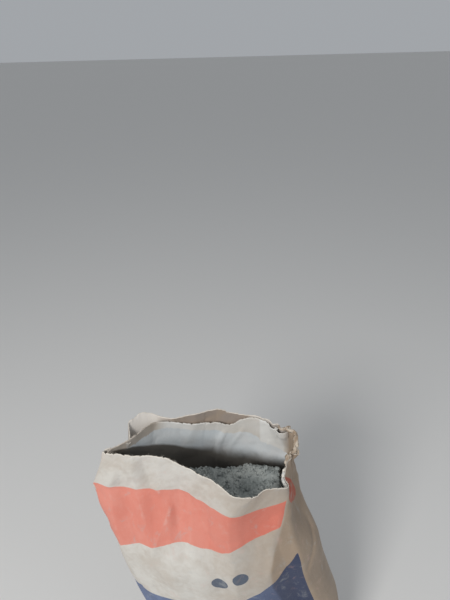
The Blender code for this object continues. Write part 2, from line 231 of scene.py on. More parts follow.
crumple = {
    "crestSoft": 0.0025, "hollow": 0.35, "fade": 0.35,          # a fold's rounded crest, hollow sides, faded ends
    "seed": 7, "folds": 230, "shortest": 0.018, "longest": 0.110, "lift": 0.00125, "reach": 0.014,
    "highest": 0.64, "crowding": 0.62, "lean": 0.75,            # where the small creases lie and how they lean
    "lowShare": 0.45, "highShare": 0.8, "deeperFrom": 0.30, "deeperOver": 0.25,
    "calm": 0.30, "calmRound": ((-1.0, 0.37), (0.62, 0.74)),    # flatter on the front and part of the back
    "waves": ((0.0030, 0.075, 1.7, 3), (0.0010, 0.030, 1.6, 5)),        # lift, cell, stretch and seed
    "settle": 0.0012, "firm": 0.35, "slackFrom": 0.33, "slackOver": 0.15, "footFade": 0.05,
}
backSeam = {"place": 0.742, "width": 0.030, "step": 0.0007, "edge": 0.002}      # the tube's pasted overlap
endPleats = {"from": 0.486, "to": 0.604, "count": 5, "lift": 0.0034, "depth": 0.055, "fade": 0.15, "slant": 14.0}


def foldLine(share, height, start, end, lift, reach):
    # how far one straight fold lifts the sheet
    dx = ((end[0] - start[0] + 0.5) % 1.0 - 0.5) * girth
    dz = end[1] - start[1]
    px = ((share - start[0] + 0.5) % 1.0 - 0.5) * girth
    pz = height - start[1]
    length, fade = math.hypot(dx, dz), crumple["fade"]
    along = (px * dx + pz * dz) / length ** 2
    across = (px * dz - pz * dx) / length
    tent = np.sqrt((across / reach) ** 2 + crumple["crestSoft"])
    profile = np.clip(1.0 - tent, 0.0, None)
    profile *= profile * crumple["hollow"] + (1.0 - crumple["hollow"])
    ends = smoothStep((along + fade) / fade) * smoothStep((1.0 + fade - along) / fade)
    return lift * profile * ends


def creaseField(share, height):
    # how far the crumpled sheet stands off its smooth wall: slack near the mouth, firm over the filling
    slack = crumple["firm"] + (1.0 - crumple["firm"]) * smoothStep((height - crumple["slackFrom"])
                                                                   / crumple["slackOver"])
    lift = -crumple["settle"] * slack
    for size, cell, stretch, seed in crumple["waves"]:
        lift += size * slack * paperNoise(share, height, cell, stretch, seed)
    for fold in mainFolds:
        lift += foldLine(share, height, *fold)
    offSeam = np.abs(share - backSeam["place"]) * girth - 0.5 * backSeam["width"]
    lift += backSeam["step"] * smoothStep(-offSeam / backSeam["edge"])
    random = np.random.default_rng(crumple["seed"])
    for index in range(crumple["folds"]):
        middle = (random.random(), crumple["highest"] * random.random() ** crumple["crowding"])
        length = crumple["shortest"] + (crumple["longest"] - crumple["shortest"]) * random.random() ** 2
        turn = random.normal(math.pi / 2, crumple["lean"])
        half = (0.5 * length * math.cos(turn) / girth, 0.5 * length * math.sin(turn))
        deeper = smoothStep((middle[1] - crumple["deeperFrom"]) / crumple["deeperOver"])
        depth = crumple["lift"] * random.normal(0.0, 1.0) * (crumple["lowShare"] + crumple["highShare"] * deeper)
        if any(low < middle[0] < high for low, high in crumple["calmRound"]):
            depth *= 1.0 - crumple["calm"]
        reach = crumple["reach"] * (0.5 + random.random())
        lift += foldLine(share, height, (middle[0] - half[0], middle[1] - half[1]),
                         (middle[0] + half[0], middle[1] + half[1]), depth, reach)
    return lift


def pleatField(share, belowLip):
    # the short upright pleats where the right end of the mouth is crushed together
    along = (share - endPleats["from"]) / (endPleats["to"] - endPleats["from"])
    waves = np.sin(2.0 * math.pi * endPleats["count"] * along + endPleats["slant"] * belowLip)
    return (endPleats["lift"] * window(along, endPleats["fade"]) * waves
            * smoothStep(1.0 - belowLip / endPleats["depth"]))


def gridNormals(grid):
    # outward normals of a grid of rows round the sack
    around = np.roll(grid, -1, axis=1) - np.roll(grid, 1, axis=1)
    normal = np.cross(around, np.gradient(grid, axis=0))
    return normal / (np.linalg.norm(normal, axis=2)[..., None] + 1e-12)


def leanedIn(grid, middle, spread, shift, rowsFrom):
    # the top rows lean inwards by shift, near one place of the lip
    near = nearShare(middle, spread)
    last = len(grid) - 1
    for row in range(rowsFrom, last + 1):
        share = ((row - rowsFrom) / (last - rowsFrom)) ** 2
        grid[row][:, :2] -= outwards(grid[row]) * (near * share * shift)[:, None]
    return grid


def liftedTop(grid, rise, rows, ease):
    # the top rows raised, the last one by the whole rise of each column
    last = len(grid) - 1
    for row in range(last - rows, last + 1):
        grid[row][:, 2] += rise * ease((row - last + rows) / rows)
    return grid


# The torn flap at the back left: where it is, which way and how far its top rows turn out and over
flap = {"run": ((0.0, 0.0), (0.825, 0.0), (0.905, 1.0), (0.930, 1.0), (0.938, 0.0), (1.0, 0.0)),
        "ahead": (-0.38, 0.92), "shift": 0.034, "rise": 0.013, "dip": 0.004, "rows": 17, "power": 1.5}


def flapTurned(grid):
    profile = smoothStep(curveAt(columnShare, flap["run"]))
    ahead = np.array(flap["ahead"])
    last = len(grid) - 1
    for row in range(last - flap["rows"], last + 1):
        share = (row - last + flap["rows"]) / flap["rows"]
        grid[row][:, :2] += ahead * (profile * share ** flap["power"] * flap["shift"])[:, None]
        grid[row][:, 2] += profile * flap["rise"] * share * (2.0 - share) - profile * flap["dip"] * share ** 3
    return grid


tear = {"amount": 0.0012, "rows": 3, "tooth": 5, "fine": 0.45, "medium": 0.7, "nickOver": 0.93, "nick": -1.6,
        "rougher": ((0.95, 0.09, 0.9), (0.55, 0.07, 0.7))}      # places where the tear is rougher


def tornLine(seed):
    # ragged height of a torn edge, one number for each column
    random = np.random.default_rng(seed)
    fine = random.uniform(-1.0, 1.0, columns)
    medium = np.interp(np.arange(columns), np.arange(0, columns + tear["tooth"], tear["tooth"]),
                       random.uniform(-1.0, 1.0, columns // tear["tooth"] + 1))
    nick = np.where(random.random(columns) > tear["nickOver"], tear["nick"], 0.0)
    rougher = 1.0 + sum(more * nearShare(place, spread) for place, spread, more in tear["rougher"])
    return tear["amount"] * rougher * (tear["fine"] * fine + tear["medium"] * medium + nick)


def atHeights(grid, heights):
    # the ring on a grid of rows at these heights, one for each column
    found = np.empty((grid.shape[1], 3))
    for column in range(grid.shape[1]):
        line = grid[:, column]
        found[column, 0] = np.interp(heights[column], line[:, 2], line[:, 0])
        found[column, 1] = np.interp(heights[column], line[:, 2], line[:, 1])
        found[column, 2] = heights[column]
    return found


def linked(name, mesh):
    obj = bpy.data.objects.new(name, mesh)
    bpy.context.scene.collection.objects.link(obj)
    return obj


def makeObject(name, points, faces, attributes=None):
    # a smooth piece from points in the sack's own coordinates
    mesh = bpy.data.meshes.new(name)
    mesh.from_pydata([tuple(point) for point in points + np.array(sack["stand"])], [], faces)
    mesh.validate()
    for key, values in (attributes or {}).items():
        layer = mesh.attributes.new(key, "FLOAT", "POINT")
        layer.data.foreach_set("value", np.asarray(values, np.float32))
    mesh.shade_smooth()
    return linked(name, mesh)


def ringFaces(first, second, flip=False):
    # the faces between two rings of points
    faces = []
    for index in range(columns):
        after = (index + 1) % columns
        face = (first + index, first + after, second + after, second + index)
        faces.append(face[::-1] if flip else face)
    return faces


def stackFaces(first, rings, flip=False):
    # the faces of a stack of rings of points
    starts = range(first, first + (rings - 1) * columns, columns)
    return [face for start in starts for face in ringFaces(start, start + columns, flip)]


def shellFrom(outside, inside):
    # one closed skin from two stacks of rings, outside and in, each with its own bottom
    points = np.vstack([outside.reshape(-1, 3), inside.reshape(-1, 3), outside[0].mean(axis=0), inside[0].mean(axis=0)])
    start, end = len(outside) * columns, (len(outside) + len(inside)) * columns
    faces = stackFaces(0, len(outside)) + stackFaces(start, len(inside), flip=True)
    faces += ringFaces(start - columns, end - columns)
    for index in range(columns):
        faces.append((end, (index + 1) % columns, index))
    for index in range(columns):
        faces.append((start + index, start + (index + 1) % columns, end + 1))
    return points, faces


def closedSheet(name, grid, thickness):
    # a closed skin with some thickness, from an open grid of places
    rows, across = grid.shape[:2]
    normal = np.cross(np.gradient(grid, axis=0), np.gradient(grid, axis=1))
    normal /= np.linalg.norm(normal, axis=2)[..., None] + 1e-12
    points = np.vstack([grid.reshape(-1, 3), (grid - normal * thickness).reshape(-1, 3)])
    half, faces = rows * across, []
    for row in range(rows - 1):
        for column in range(across - 1):
            first = row * across + column
            face = (first, first + 1, first + across + 1, first + across)
            faces += [face, tuple(half + index for index in face[::-1])]
    border = [*range(across), *range(2 * across - 1, half, across),
              *range(half - 2, half - across - 1, -1), *range(half - 2 * across, 0, -across)]
    for first, second in zip(border, border[1:] + border[:1]):
        faces.append((second, first, first + half, second + half))
    made = makeObject(name, points, faces)
    skin = bmesh.new()
    skin.from_mesh(made.data)
    bmesh.ops.recalc_face_normals(skin, faces=skin.faces)
    skin.to_mesh(made.data)
    skin.free()
    return made


def loopVertices(mesh):
    loops = np.empty(len(mesh.loops), np.int32)
    mesh.loops.foreach_get("vertex_index", loops)
    return loops


def setUv(mesh, uv):
    layer = mesh.uv_layers.new(name="sheet")
    layer.data.foreach_set("uv", uv.astype(np.float32).ravel())


def sheetUv(mesh, share, height):
    # the sheet's own map in metres, once round the sack, with no jump where it closes
    loops = loopVertices(mesh)
    starts = np.empty(len(mesh.polygons), np.int32)
    mesh.polygons.foreach_get("loop_start", starts)
    owner = np.zeros(len(loops), int)
    owner[starts[1:]] = 1
    owner = np.cumsum(owner)
    u = np.asarray(share, float)[loops]
    highest = np.zeros(len(starts))
    np.maximum.at(highest, owner, u)
    u = np.where((highest[owner] > 0.75) & (u < 0.25), u + 1.0, u)
    setUv(mesh, np.stack([u * girth, np.asarray(height, float)[loops]], axis=1))


# Where the plain printed fields lie on the front: heights are on the sheet, places are shares round the sack
printed = {
    "bandHigh": ((-0.02, 0.580), (0.030, 0.582), (0.067, 0.578), (0.100, 0.576), (0.145, 0.578), (0.205, 0.579),
                 (0.223, 0.571), (0.245, 0.578), (0.265, 0.582), (0.312, 0.579), (0.343, 0.576), (0.374, 0.575),
                 (0.402, 0.579), (0.440, 0.579)),
    "bandLow": ((-0.02, 0.462), (0.036, 0.472), (0.060, 0.484), (0.095, 0.491), (0.149, 0.496), (0.171, 0.501),
                (0.200, 0.503), (0.226, 0.498), (0.274, 0.500), (0.301, 0.509), (0.333, 0.517), (0.366, 0.522),
                (0.399, 0.532)),
    "left": -0.012,
    # the edge of the front along its crease: height, then share round
    "crease": ((0.300, 0.362), (0.400, 0.345), (0.457, 0.351), (0.478, 0.364), (0.503, 0.383), (0.533, 0.399),
               (0.556, 0.411), (0.581, 0.416)),
    "dustRound": ((-0.25, 0.35), (-0.12, 0.55), (-0.04, 0.62), (0.03, 0.86), (0.10, 0.95), (0.20, 0.93), (0.27, 0.74),
                  (0.33, 0.48), (0.40, 0.38), (0.44, 0.18), (0.60, 0.15), (0.64, 0.40), (0.80, 0.35)),
    # beyond the front's crease the dust is thin: partly cleaner paper, partly painted shade of the turned-away facet
    # and right side
    "sideDustAndShade": 0.08, "sideEnd": 0.62, "sideFade": 0.03, "creaseFade": 0.006,
    "blueHigh": ((-0.02, 0.330), (0.030, 0.352), (0.067, 0.361), (0.127, 0.366), (0.200, 0.370), (0.260, 0.376),
                 (0.320, 0.393), (0.355, 0.416), (0.386, 0.439), (0.415, 0.472)),
    "blueRight": 0.4165, "blueLow": 0.028,
    "disc": (0.464, 0.556, 0.050, 0.0185, -44.0),               # place, height, half length, half width, tilt
    "spots": ((0.248, 0.432, 0.0140), (0.292, 0.445, 0.0140)),  # place, height and radius
    "backBar": (0.63, 0.86, 0.045, 0.150),                      # left, right, low and high
}


def printFields(share, height):
    # signed distances in metres to the edges of the printed fields, more than 0 inside
    turned = np.where(share > 0.75, share - 1.0, share)
    fromLeft = (turned - printed["left"]) * girth
    band = np.minimum.reduce([curveAt(turned, printed["bandHigh"]) - height, fromLeft,
                              height - curveAt(turned, printed["bandLow"]),
                              (curveAt(height, printed["crease"]) - turned) * girth])
    blue = np.minimum.reduce([curveAt(turned, printed["blueHigh"]) - height, fromLeft,
                              height - printed["blueLow"], (printed["blueRight"] - turned) * girth])
    left, right, low, high = printed["backBar"]
    bar = np.minimum.reduce([(share - left) * girth, (right - share) * girth, height - low, high - height])
    place, level, reach, narrow, tilt = printed["disc"]
    aside, above, tilt = (turned - place) * girth, height - level, math.radians(tilt)
    ahead = aside * math.cos(tilt) + above * math.sin(tilt)
    across = above * math.cos(tilt) - aside * math.sin(tilt)
    disc = narrow * (1.0 - np.hypot(ahead / reach, across / narrow))
    spots = np.full(share.shape, -1.0)
    for place, level, radius in printed["spots"]:
        spots = np.maximum(spots, radius - np.hypot((turned - place) * girth, height - level))
    return {"band": band, "blue": np.maximum(blue, bar), "disc": disc, "spots": spots}


def dustAndSideShade(share, height):
    # chalky dust: thick over the whole front up to its crease, thin on the clean right end, patchy on the back; the
    # thin dust beyond the crease also paints the shade of the turned-away facet and right side
    turned = np.where(share > 0.80, share - 1.0, share)
    amount = curveAt(turned, printed["dustRound"])
    beyondCrease = (turned - curveAt(height, printed["crease"])) * girth
    onSide = smoothStep(beyondCrease / printed["creaseFade"])
    onSide = onSide * smoothStep((printed["sideEnd"] - turned) / printed["sideFade"])
    return amount + (printed["sideDustAndShade"] - amount) * onSide


print("sack: wall")
wall = wallGrid()
wallShare = np.broadcast_to(columnShare, wall.shape[:2])
sheetHeight = wall[..., 2].copy()
lift = creaseField(wallShare, sheetHeight) * smoothStep(sheetHeight / crumple["footFade"])
lift += pleatField(wallShare, sheetHeight[-1] - sheetHeight)
wall = wall + gridNormals(wall) * lift[..., None]
wallNormal = gridNormals(wall)
lipHeights = wall[-1, :, 2].copy()

print("sack: outer ply")
outerLook = {
    "thickness": 0.0009, "hiddenThickness": 0.0050, "fineFrom": 0.425, "coarseStep": 6,
    "tornSeed": 21, "raisedRows": 8, "wornReach": 3, "wornLift": 0.0008,
    "rise": ((0.0, 0.005), (0.016, 0.0), (0.938, 0.0), (0.946, 0.006), (0.975, 0.007), (1.0, 0.005)),
    "paleInside": ((0.0, 0.7), (0.10, 0.6), (0.60, 0.5), (0.645, 0.9), (0.660, 0.14), (0.83, 0.10), (0.865, 0.9),
                   (1.0, 0.7)),
}
outer = flapTurned(wall.copy())
outer = liftedTop(outer, curveAt(columnShare, outerLook["rise"]), outerLook["raisedRows"], smoothStep)
outer = liftedTop(outer, tornLine(outerLook["tornSeed"]), tear["rows"], np.square)
outerNormal = gridNormals(outer)
fineRow = int(np.argmax(outer[:, 0, 2] > outerLook["fineFrom"]))
coarse = list(range(0, fineRow, outerLook["coarseStep"]))       # the few rows that are enough where nothing is seen
lining = outer - outerNormal * outerLook["thickness"]
hidden = outer - outerNormal * outerLook["hiddenThickness"]
hidden[..., 2] = np.maximum(hidden[..., 2], outerLook["hiddenThickness"])
back = np.concatenate([hidden[coarse], lining[fineRow:]])
points, faces = shellFrom(outer, back)


def onShell(grid):
    # a number of each place on the wall, for the shell's points outside, inside and under its two bottoms
    return np.concatenate([grid.ravel(), grid[coarse].ravel(), grid[fineRow:].ravel(), [0.0, 0.0]])


kept = onShell(sheetHeight)
shares = np.concatenate([np.tile(columnShare, len(outer) + len(back)), [0.5, 0.5]])
inside = np.concatenate([np.zeros(len(outer) * columns), np.ones(len(back) * columns), [0, 1]])
lipAt = np.interp(shares, np.append(columnShare, 1.0), np.append(sheetHeight[-1], sheetHeight[-1, 0]))
worn = outerLook["wornReach"]
crest = lift - 0.25 * (np.roll(lift, worn, axis=1) + np.roll(lift, -worn, axis=1)
                       + np.vstack([lift[worn:], lift[-worn:]]) + np.vstack([lift[:worn], lift[:-worn]]))
outerPly = makeObject("outer_ply_paper", points, faces, {
    **printFields(shares, kept), "inside": inside, "paleInside": curveAt(shares, outerLook["paleInside"]),
    "lip": lipAt - kept, "crest": onShell(crest) / outerLook["wornLift"], "dust": dustAndSideShade(shares, kept)})
sheetUv(outerPly.data, shares, kept)

print("sack: inner ply")
innerLook = {
    "gap": 0.0016, "tipGap": 0.75, "tipSpread": 0.06,           # the gap is smaller in the pinched left tip
    "tipPull": 0.008, "pullSpread": 0.035, "pullFrom": 0.50, "pullOver": 0.03,
    "thickness": 0.0008, "hiddenThickness": 0.0009, "hiddenDepth": 0.0062, "from": 0.455, "rows": 60,
    "tornSeed": 33, "raisedRows": 10,
    "leans": ((0.73, 0.13, 0.0060), (0.584, 0.036, 0.0070)),    # where it parts from the outer ply, and how far
    "leanFrom": 0.55,
    "drop": ((0.0, 0.003), (0.05, 0.006), (0.38, 0.006), (0.42, 0.003), (0.47, 0.002), (0.56, 0.003),
             (0.62, 0.003), (0.655, 0.002), (0.675, 0.009), (0.690, 0.018), (0.710, 0.025), (0.745, 0.023),
             (0.800, 0.014), (0.840, 0.006), (0.860, 0.005), (0.885, 0.001), (0.965, 0.001), (1.0, 0.002)),
    "rise": ((0.0, 0.006), (0.018, 0.0), (0.820, 0.0), (0.850, 0.006), (0.890, 0.012), (0.950, 0.010), (1.0, 0.006)),
    # how far down from its lip the inside is still clean
    "clean": ((0.0, 0.006), (0.10, 0.010), (0.38, 0.014), (0.42, 0.060), (0.54, 0.062), (0.568, 0.062),
              (0.595, 0.056), (0.6275, 0.055), (0.630, 0.047), (0.660, 0.035), (0.70, 0.021), (0.76, 0.019),
              (0.80, 0.014), (0.84, 0.014), (0.865, 0.017), (0.885, 0.022), (0.97, 0.021), (1.0, 0.013)),
    # the height below which the inside is painted dark as the front lip's shadow and the deep shade, and how softly
    "paintedShadeFrom": ((0.0, 0.640), (0.10, 0.615), (0.25, 0.590), (0.40, 0.560), (0.50, 0.546), (0.585, 0.543),
                 (0.63, 0.544), (0.70, 0.554), (0.765, 0.562), (0.808, 0.575), (0.843, 0.590), (0.88, 0.603),
                 (0.926, 0.627), (0.961, 0.638), (1.0, 0.640)),
    "paintedShadeFade": ((0.0, 0.004), (0.40, 0.020), (0.70, 0.024), (0.765, 0.014), (0.808, 0.006), (1.0, 0.004)),
    "bare": ((0.0, 0.4), (0.020, 0.0), (0.478, 0.0), (0.500, 0.9), (0.560, 0.9), (0.572, 0.0), (0.86, 0.0),
             (0.88, 0.4), (1.0, 0.4)),
    "white": ((0.0, 0.0), (0.572, 0.0), (0.576, 0.8), (0.6275, 1.0), (0.630, 0.1), (0.70, 0.4), (0.84, 1.0),
              (0.87, 0.0)),
}
drop = curveAt(columnShare, innerLook["drop"])
inner = np.array([atHeights(wall, innerLook["from"] + (lipHeights - drop - innerLook["from"]) * share)
                  for share in np.linspace(0.0, 1.0, innerLook["rows"])])
gapRound = innerLook["gap"] * (1.0 - innerLook["tipGap"] * nearShare(0.0, innerLook["tipSpread"]))
inner = inner - gridNormals(inner) * gapRound[:, None]
inner[..., 0] += (innerLook["tipPull"] * nearShare(0.0, innerLook["pullSpread"])
                  * smoothStep((inner[..., 2] - innerLook["pullFrom"]) / innerLook["pullOver"]))
for place, spread, lean in innerLook["leans"]:
    inner = leanedIn(inner, place, spread, lean, int(innerLook["leanFrom"] * innerLook["rows"]))
inner = liftedTop(inner, curveAt(columnShare, innerLook["rise"]), innerLook["raisedRows"], smoothStep)
inner = liftedTop(inner, tornLine(innerLook["tornSeed"]), tear["rows"], np.square)
innerBack = inner - gridNormals(inner) * innerLook["thickness"]


def sunkRing(row, depth):
    # a row of the wall moved inwards, out of sight
    ring = wall[row] - wallNormal[row] * depth
    ring[:, 2] = np.maximum(ring[:, 2], depth)
    return ring


below = [sunkRing(row, innerLook["hiddenDepth"]) for row in coarse]
belowBack = [sunkRing(row, innerLook["hiddenDepth"] + innerLook["hiddenThickness"]) for row in coarse]
inner = np.concatenate([np.array(below), inner])
innerBack = np.concatenate([np.array(belowBack), innerBack])
points, faces = shellFrom(inner, innerBack)
shares = np.append(np.tile(columnShare, 2 * len(inner)), [0.5, 0.5])
kept = points[:, 2].copy()
lipAt = np.append(np.tile(inner[-1, :, 2], 2 * len(inner)), [0.6, 0.6])
innerPly = makeObject("inner_ply_paper", points, faces, {
    "inside": np.append(np.repeat([0.0, 1.0], len(inner) * columns), [0.0, 1.0]),
    "lip": lipAt - kept, "powder": (lipAt - kept) - curveAt(shares, innerLook["clean"]),
    # how far below the top of the painted shade each point lies, in fades
    "dark": (curveAt(shares, innerLook["paintedShadeFrom"]) - kept) / curveAt(shares, innerLook["paintedShadeFade"]),
    "bare": curveAt(shares, innerLook["bare"]), "white": curveAt(shares, innerLook["white"])})
sheetUv(innerPly.data, shares, kept)

# The cement: its level where it has slid away, and the heap over it, in the sack's own coordinates
powder = {
    "level": 0.505, "heapHeight": 0.066, "heapLength": 0.150, "heapWidth": 0.078, "heapSide": 0.050,
    "heapFront": 0.018, "rings": 84, "sideRows": 12, "offWall": 0.0042, "hiddenDepth": 0.0085,
    "lump": 0.0038, "lumpCells": ((1.0, 0.032), (0.55, 0.014), (0.35, 0.0065), (0.22, 0.003)),
    "sideSlip": 0.018, "sideSlipFrom": 0.095, "sideSlipOver": 0.014,
    "crest": ((-0.110, 0.060), (-0.070, 0.053), (-0.034, 0.041), (0.024, 0.037), (0.040, 0.043),
              (0.063, 0.047), (0.076, 0.038), (0.088, 0.032), (0.101, 0.026), (0.118, 0.016)),
    "crestRise": 0.005, "crestAhead": 0.004, "crestWidth": 0.014, "ragged": 0.004, "raggedCell": 0.009,
    "trench": 0.030, "trenchWidth": 0.020, "firstEdge": 0.50, "settlings": 12, "edgeShare": 0.15,
    "room": (0.60, 0.46), "roomStep": 0.004,                    # the heights between which the wall is searched
    "clearSide": (0.003, 0.004), "clearAbove": (0.002, 0.008),  # how clear of the wall lumps lie, and over what
    "shadeFrom": 0.002, "shadeBehind": 0.010, "shadeLeft": (-0.084, 0.040, 0.85),       # from, over and how much
    # what the tree of lumps is given: lumps on a square metre and their size
    "Crumbs": 56000.0, "Crumb Size": 0.0013, "Clods": 7000.0, "Clod Size": 0.0042, "seed": 4,
    "smallest": (0.40, 0.40, 0.30), "largest": (1.25, 1.25, 0.95), "uneven": 0.0026, "unevenScale": 420.0,
}


def behindCrest(x, y):
    # how far back from the heap's crest line a place lies
    return y - curveAt(x, powder["crest"])


def powderHeight(x, y):
    # the heap with its crest, its slumped lumps, and what has slid away behind it and at the right end
    along = (x - sack["mouthShift"] - powder["heapSide"]) / powder["heapLength"]
    across = (y + powder["heapFront"]) / powder["heapWidth"]
    heap = powder["level"] + powder["heapHeight"] * np.exp(-(along ** 4) - across ** 4)
    rough = powder["lump"] * sum(share * groundNoise(x, y, cell, index + 1)
                                 for index, (share, cell) in enumerate(powder["lumpCells"]))
    behind = behindCrest(x, y) + powder["ragged"] * groundNoise(x, y, powder["raggedCell"], 6)
    crest = powder["crestRise"] * np.exp(-((behind + powder["crestAhead"]) / powder["crestWidth"]) ** 2)
    slid = powder["trench"] * smoothStep(behind / powder["trenchWidth"])
    atSide = smoothStep((x - powder["sideSlipFrom"]) / powder["sideSlipOver"])
    return heap + rough + crest - np.maximum(slid, powder["sideSlip"] * atSide)


print("sack: cement")
edgeHeights = np.full(columns, powder["firstEdge"])
for settling in range(powder["settlings"]):
    edgeRing = atHeights(wall, edgeHeights)
    edgeRing[:, :2] -= outwards(edgeRing) * powder["offWall"]
    edgeHeights = 0.5 * (edgeHeights + powderHeight(edgeRing[:, 0], edgeRing[:, 1]))
edgeMiss = edgeHeights - powderHeight(edgeRing[:, 0], edgeRing[:, 1])
middle = np.array([edgeRing[:, 0].mean(), edgeRing[:, 1].mean()])
sideRows = [sunkRing(row, powder["hiddenDepth"]) for row in coarse]
lowest = sideRows[-1][:, 2]
for share in np.linspace(0.0, 1.0, powder["sideRows"] + 2)[1:-1]:
    ring = atHeights(wall, lowest + (edgeHeights - lowest) * share)
    ring[:, :2] -= outwards(ring) * (powder["hiddenDepth"] + (powder["offWall"] - powder["hiddenDepth"]) * share)
    sideRows.append(ring)
wallRings = [atHeights(wall, np.full(columns, height)) for height in np.arange(*powder["room"], -powder["roomStep"])]


def roomUnder(x, y):
    # the height at which the leaning wall first closes over a place, looking up
    turn, reach = np.arctan2(y - middle[1], x - middle[0]), np.hypot(x - middle[0], y - middle[1])
    room, above = np.full(len(x), 1.0), np.zeros(len(x), bool)
    for ring in wallRings:
        ringTurn = np.arctan2(ring[:, 1] - middle[1], ring[:, 0] - middle[0])
        ringReach = np.hypot(ring[:, 0] - middle[0], ring[:, 1] - middle[1])
        edge = np.interp(turn, ringTurn, ringReach, period=2.0 * math.pi)
        closed = reach > edge - powder["offWall"]
        room = np.where(above & ~closed, ring[0, 2] + 0.5 * powder["roomStep"], room)
        above = closed
    return room


topRows, strewn = [], []
(sideFrom, sideOver), (aboveFrom, aboveOver) = powder["clearSide"], powder["clearAbove"]
reachRound = np.linalg.norm(edgeRing[:, :2] - middle, axis=1)
for share in np.linspace(1.0, 0.0, powder["rings"], endpoint=False):
    plan = middle + (edgeRing[:, :2] - middle) * share
    nearEdge = smoothStep((share - 1.0 + powder["edgeShare"]) / powder["edgeShare"])
    level = powderHeight(plan[:, 0], plan[:, 1]) + edgeMiss * nearEdge
    room = roomUnder(plan[:, 0], plan[:, 1])
    level = np.minimum(level, room) if share < 1.0 else level
    topRows.append(np.column_stack([plan, level]))
    # lumps lie only where they clear the wall
    strewn.append(smoothStep(((1.0 - share) * reachRound - sideFrom) / sideOver)
                  * smoothStep((room - level - aboveFrom) / aboveOver))
rows = np.array(sideRows + topRows)
points = np.vstack([rows.reshape(-1, 3), [[*middle, float(powderHeight(*middle))]], rows[0].mean(axis=0)[None]])
faces, last, peak = stackFaces(0, len(rows)), (len(rows) - 1) * columns, len(rows) * columns
for index in range(columns):
    after = (index + 1) % columns
    faces += [(last + index, last + after, peak), (after, index, peak + 1)]
leftFrom, leftOver, leftMost = powder["shadeLeft"]
behind = behindCrest(points[:, 0], points[:, 1]) - powder["shadeFrom"]
shade = np.maximum(smoothStep(behind / powder["shadeBehind"]),
                   leftMost * smoothStep((leftFrom - points[:, 0]) / leftOver))
cement = makeObject("cement_heap", points, faces, {
    "top": np.concatenate([np.zeros(len(sideRows) * columns), *strewn, [1.0, 0.0]]), "shade": shade})

print("sack: crushed end")
# the outer ply's torn lip rolled in on itself along the crushed right end, on the lip's own line
rolledLip = {"from": 0.472, "to": 0.583, "samples": 120, "across": 15, "radius": 0.0036, "raise": 0.0022,
             "wave": 0.20, "startAngle": -35.0, "endAngle": 205.0, "crush": 0.0021, "pleats": 9, "thickness": 0.0007}
# the inner ply's white lip turned in along the low right end
turnedLip = {"from": 0.402, "to": 0.476, "samples": 70, "across": 11, "radius": 0.0025, "raise": 0.0010,
             "wave": 0.0, "startAngle": 0.0, "endAngle": 235.0, "crush": 0.0005, "pleats": 1, "thickness": 0.0006}
# what both rolls share; run is a roll's length in metres for its noise, a crush is share, step, cell and seed
roll = {"fade": 0.14, "thinEnd": 0.25, "run": 0.12, "bend": 2.0, "bendCell": 0.02,
        "crushes": ((1.0, 0.004, 0.006, 12), (0.6, 0.003, 0.003, 13))}


def rolledGrid(lip, look):
    # a roll of paper along part of a lip, from its outside over the top to its inside
    along = np.linspace(0.0, 1.0, look["samples"])
    shares = look["from"] + (look["to"] - look["from"]) * along
    out = outwards(lip)
    line, side = [np.stack([np.interp(shares, columnShare, part) for part in ring.T], axis=1) for ring in (lip, out)]
    side /= np.linalg.norm(side, axis=1)[:, None]
    ends, run = window(along, roll["fade"]), along * roll["run"]
    bent = roll["bend"] * groundNoise(run, np.zeros(len(run)), roll["bendCell"], 15)
    wave = 1.0 - 2.0 * np.abs(np.sin(math.pi * look["pleats"] * along + bent))
    radius = look["radius"] * (roll["thinEnd"] + (1.0 - roll["thinEnd"]) * ends) * (1.0 + look["wave"] * wave)
    angles = np.radians(np.linspace(look["startAngle"], look["endAngle"], look["across"]))
    grid = np.empty((len(along), len(angles), 3))
    for index, angle in enumerate(angles):
        crushed = sum(share * groundNoise(run, np.full(len(run), step * index), cell, seed)
                      for share, step, cell, seed in roll["crushes"])
        reach = radius + look["crush"] * ends * crushed
        grid[:, index, :2] = line[:, :2] + side * (reach * math.cos(angle) - radius)[:, None]
        grid[:, index, 2] = line[:, 2] + look["raise"] * ends + reach * math.sin(angle)
    return grid


crushedLip = closedSheet("rolled_torn_lip", rolledGrid(outer[-1], rolledLip), rolledLip["thickness"])
whiteLip = closedSheet("turned_inner_lip", rolledGrid(inner[-1], turnedLip), turnedLip["thickness"])

print("sack: bottom sheet")
patchLook = {"margin": 0.005, "low": -0.0011, "high": -0.0003, "rings": 14, "wave": 0.00025, "waveCell": 0.02}
foot = bodyRing(0.0)
foot = ringAt(foot - outwards(foot) * (sack["edgeRadius"] + patchLook["margin"]), 0.0)
footMiddle = foot.mean(axis=0)
points, faces = [], []
for level in (patchLook["low"], patchLook["high"]):
    for ring in range(patchLook["rings"]):
        plan = footMiddle + (foot - footMiddle) * (ring + 1) / patchLook["rings"]
        plan[:, 2] = level
        if level == patchLook["low"] and ring < patchLook["rings"] - 1:
            plan[:, 2] += patchLook["wave"] * (1.0 + groundNoise(plan[:, 0], plan[:, 1], patchLook["waveCell"], 9))
        points.append(plan)
points = np.vstack(points + [[[*footMiddle[:2], patchLook["low"]]], [[*footMiddle[:2], patchLook["high"]]]])
perSide = patchLook["rings"] * columns
for ring in range(patchLook["rings"] - 1):
    faces += ringFaces(ring * columns, (ring + 1) * columns, flip=True)
    faces += ringFaces(perSide + ring * columns, perSide + (ring + 1) * columns)
faces += ringFaces(perSide - columns, 2 * perSide - columns)
for index in range(columns):
    after = (index + 1) % columns
    faces += [(after, index, 2 * perSide), (perSide + index, perSide + after, 2 * perSide + 1)]
bottomSheet = makeObject("bottom_sheet", points, faces)
setUv(bottomSheet.data, (points + np.array(sack["stand"]))[loopVertices(bottomSheet.data)][:, :2])


